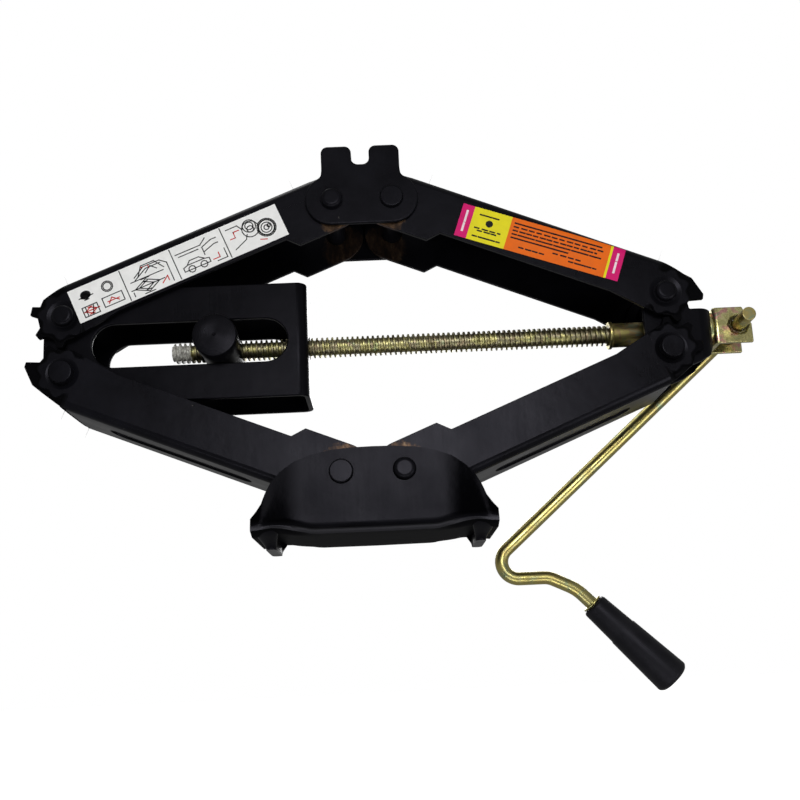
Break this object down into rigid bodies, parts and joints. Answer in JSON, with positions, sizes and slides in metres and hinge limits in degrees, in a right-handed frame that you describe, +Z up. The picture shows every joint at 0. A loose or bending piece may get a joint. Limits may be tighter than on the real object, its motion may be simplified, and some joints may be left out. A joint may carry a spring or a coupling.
{
  "type": "scissor car jack",
  "caption": "Scissor car jack of four pressed channel arms with geared knuckles, lead screw, folding crank, arched base and notched saddle.",
  "frame": {"origin": "on the ground plane under the centre of the base", "axes": "+X along the lead screw towards the crank, +Z up in the lifting direction, -Y the front with the labels"},
  "size_m": [0.4203, 0.0768, 0.3235],
  "materials": {
    "black_coat": "satin black electrocoat",
    "yellow_zinc": "yellow chromated zinc plate",
    "grip_plastic": "moulded black plastic",
    "label_white": "printed white vinyl",
    "label_colour": "printed coloured vinyl"
  },
  "bodies": {
    "base": {"base": "black_coat", "base_pin_left": "black_coat", "base_pin_right": "black_coat"},
    "lower_left_arm": {"lower_left_arm": "black_coat"},
    "lower_right_arm": {"lower_right_arm": "black_coat"},
    "left_yoke": {"left_yoke": "black_coat", "knuckle_pin_left_lower": "black_coat", "knuckle_pin_left_upper": "black_coat", "left_pivot_washers": "black_coat"},
    "right_yoke": {"right_yoke": "black_coat", "knuckle_pin_right_lower": "black_coat", "knuckle_pin_right_upper": "black_coat", "right_pivot_washers": "black_coat"},
    "upper_left_arm": {"upper_left_arm": "black_coat", "instruction_label": "label_white"},
    "upper_right_arm": {"upper_right_arm": "black_coat", "rating_label": "label_colour"},
    "saddle": {"saddle": "black_coat", "saddle_pin_left": "black_coat", "saddle_pin_right": "black_coat"},
    "trunnion_nut": {"trunnion_nut": "black_coat"},
    "lead_screw": {"lead_screw": "yellow_zinc", "screw_collar": "yellow_zinc", "thrust_washer": "yellow_zinc", "crank_clevis": "yellow_zinc"},
    "crank": {"crank_rod": "yellow_zinc", "grip_washer": "yellow_zinc"},
    "crank_grip": {"crank_grip": "grip_plastic"}
  },
  "joints": [
    {"name": "lift", "type": "hinge", "parent": "base", "child": "lower_left_arm", "pos_m": [-0.0175, 0, 0.0405], "axis": [0, 1, 0], "range_deg": [-17.4, 37.5]},
    {"name": "lower_right_pivot", "type": "hinge", "parent": "base", "child": "lower_right_arm", "pos_m": [0.0175, 0, 0.0405], "axis": [0, 1, 0], "range_deg": [-37.5, 17.4]},
    {"name": "left_lower_knuckle", "type": "hinge", "parent": "lower_left_arm", "child": "left_yoke", "pos_m": [-0.17282, 0, 0.10452], "axis": [0, 1, 0], "range_deg": [-37.5, 17.4]},
    {"name": "right_lower_knuckle", "type": "hinge", "parent": "lower_right_arm", "child": "right_yoke", "pos_m": [0.17282, 0, 0.10452], "axis": [0, 1, 0], "range_deg": [-17.4, 37.5]},
    {"name": "left_upper_knuckle", "type": "hinge", "parent": "left_yoke", "child": "upper_left_arm", "pos_m": [-0.17282, 0, 0.13852], "axis": [0, 1, 0], "range_deg": [-37.5, 17.4]},
    {"name": "right_upper_knuckle", "type": "hinge", "parent": "right_yoke", "child": "upper_right_arm", "pos_m": [0.17282, 0, 0.13852], "axis": [0, 1, 0], "range_deg": [-17.4, 37.5]},
    {"name": "saddle_left_pivot", "type": "hinge", "parent": "upper_left_arm", "child": "saddle", "pos_m": [-0.0175, 0, 0.20254], "axis": [0, 1, 0], "range_deg": [-17.4, 37.5]},
    {"name": "nut_slide", "type": "slide", "parent": "left_yoke", "child": "trunnion_nut", "axis": [1, 0, 0], "range_m": [-0.0225, 0.0095]},
    {"name": "screw_turn", "type": "hinge", "parent": "right_yoke", "child": "lead_screw", "pos_m": [0, 0, 0.12152], "axis": [1, 0, 0], "range_deg": [0, 30]},
    {"name": "handle_swing", "type": "hinge", "parent": "lead_screw", "child": "crank", "pos_m": [0.218, 0, 0.12152], "axis": [0, -1, 0], "range_deg": [0, 136]},
    {"name": "grip_spin", "type": "hinge", "parent": "crank", "child": "crank_grip", "pos_m": [0.1726, 0.0345, -0.08128], "axis": [0.6961, 0, -0.718], "continuous": true}
  ],
  "couplings": [
    {"joint": "lower_right_pivot", "follows": "lift", "ratio": -1},
    {"joint": "left_lower_knuckle", "follows": "lift", "ratio": -1},
    {"joint": "right_lower_knuckle", "follows": "lift", "ratio": 1},
    {"joint": "left_upper_knuckle", "follows": "lift", "ratio": -1},
    {"joint": "right_upper_knuckle", "follows": "lift", "ratio": 1},
    {"joint": "saddle_left_pivot", "follows": "lift", "ratio": 1},
    {"joint": "nut_slide", "follows": "lift", "m_per_rad": -0.03}
  ]
}
